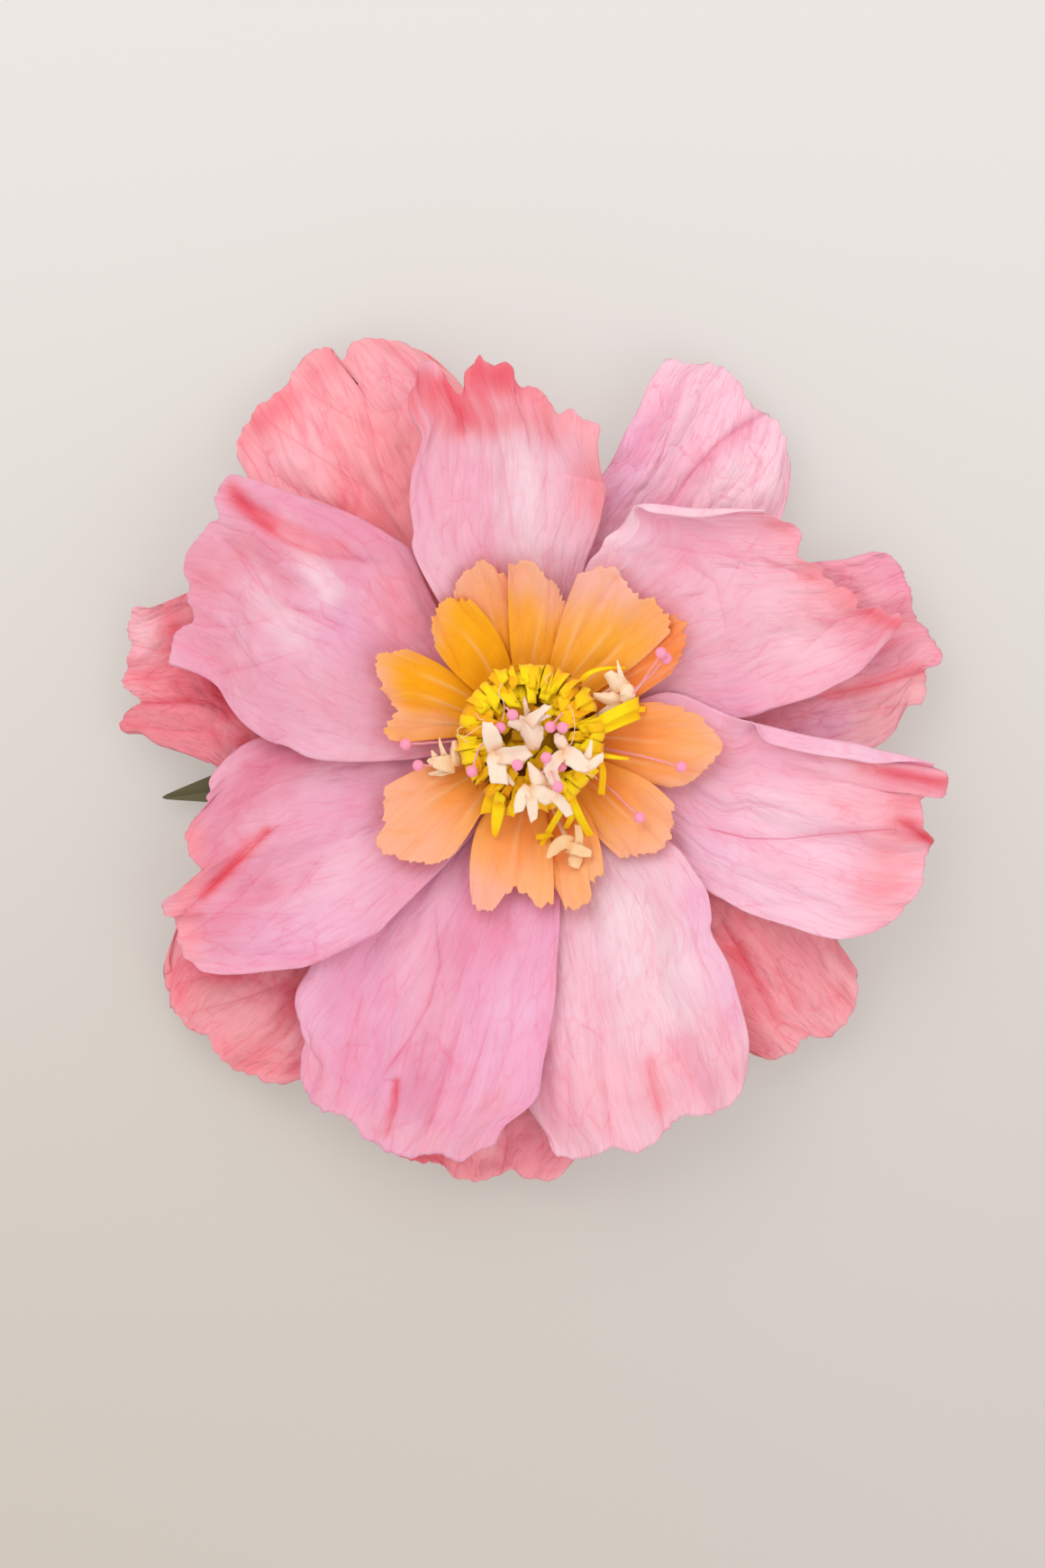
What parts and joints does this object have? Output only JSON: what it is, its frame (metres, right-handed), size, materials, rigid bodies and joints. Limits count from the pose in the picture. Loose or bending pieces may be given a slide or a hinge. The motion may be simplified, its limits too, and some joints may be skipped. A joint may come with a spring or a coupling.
{
  "type": "crepe paper flower",
  "caption": "Open crepe paper flower with pleated pink petals over darker ones, an orange inner ring, a cut yellow fringe, pip stamens and cream florets on a flat round card backing.",
  "frame": {"origin": "centre of the card backing's flat underside", "axes": "+Z out of the flower's face, +X to the picture's right, +Y to the picture's top"},
  "size_m": [0.2088, 0.2121, 0.0354],
  "materials": {
    "backing_card": "matt card",
    "leaf_paper": "matt crepe",
    "back_petal_paper": "matt crepe",
    "front_petal_paper": "matt crepe",
    "orange_petal_paper": "matt crepe",
    "button_paper": "matt wound paper",
    "fringe_paper": "matt crepe",
    "stamen": "satin pips on stiffened thread",
    "floret_paper": "matt paper"
  },
  "bodies": {
    "root": {"backing_disc": "backing_card", "leaf_1": "leaf_paper", "leaf_2": "leaf_paper", "back_petal_1": "back_petal_paper", "back_petal_2": "back_petal_paper", "back_petal_3": "back_petal_paper", "back_petal_4": "back_petal_paper", "back_petal_5": "back_petal_paper", "back_petal_6": "back_petal_paper", "back_petal_7": "back_petal_paper", "front_petal_1": "front_petal_paper", "front_petal_2": "front_petal_paper", "front_petal_3": "front_petal_paper", "front_petal_4": "front_petal_paper", "front_petal_5": "front_petal_paper", "front_petal_6": "front_petal_paper", "front_petal_7": "front_petal_paper", "orange_petal_01": "orange_petal_paper", "orange_petal_02": "orange_petal_paper", "orange_petal_03": "orange_petal_paper", "orange_petal_04": "orange_petal_paper", "orange_petal_05": "orange_petal_paper", "orange_petal_06": "orange_petal_paper", "orange_petal_07": "orange_petal_paper", "orange_petal_08": "orange_petal_paper", "orange_petal_09": "orange_petal_paper", "orange_petal_10": "orange_petal_paper", "orange_petal_11": "orange_petal_paper", "centre_button": "button_paper", "centre_fringe": "fringe_paper", "stamen_01": "stamen", "stamen_02": "stamen", "stamen_03": "stamen", "stamen_04": "stamen", "stamen_05": "stamen", "stamen_06": "stamen", "stamen_07": "stamen", "stamen_08": "stamen", "stamen_09": "stamen", "stamen_10": "stamen", "stamen_11": "stamen", "stamen_12": "stamen", "stamen_13": "stamen", "stamen_14": "stamen", "stamen_15": "stamen", "floret_1": "floret_paper", "floret_2": "floret_paper", "floret_3": "floret_paper", "floret_4": "floret_paper", "floret_5": "floret_paper", "floret_6": "floret_paper", "floret_7": "floret_paper"}
  },
  "joints": []
}
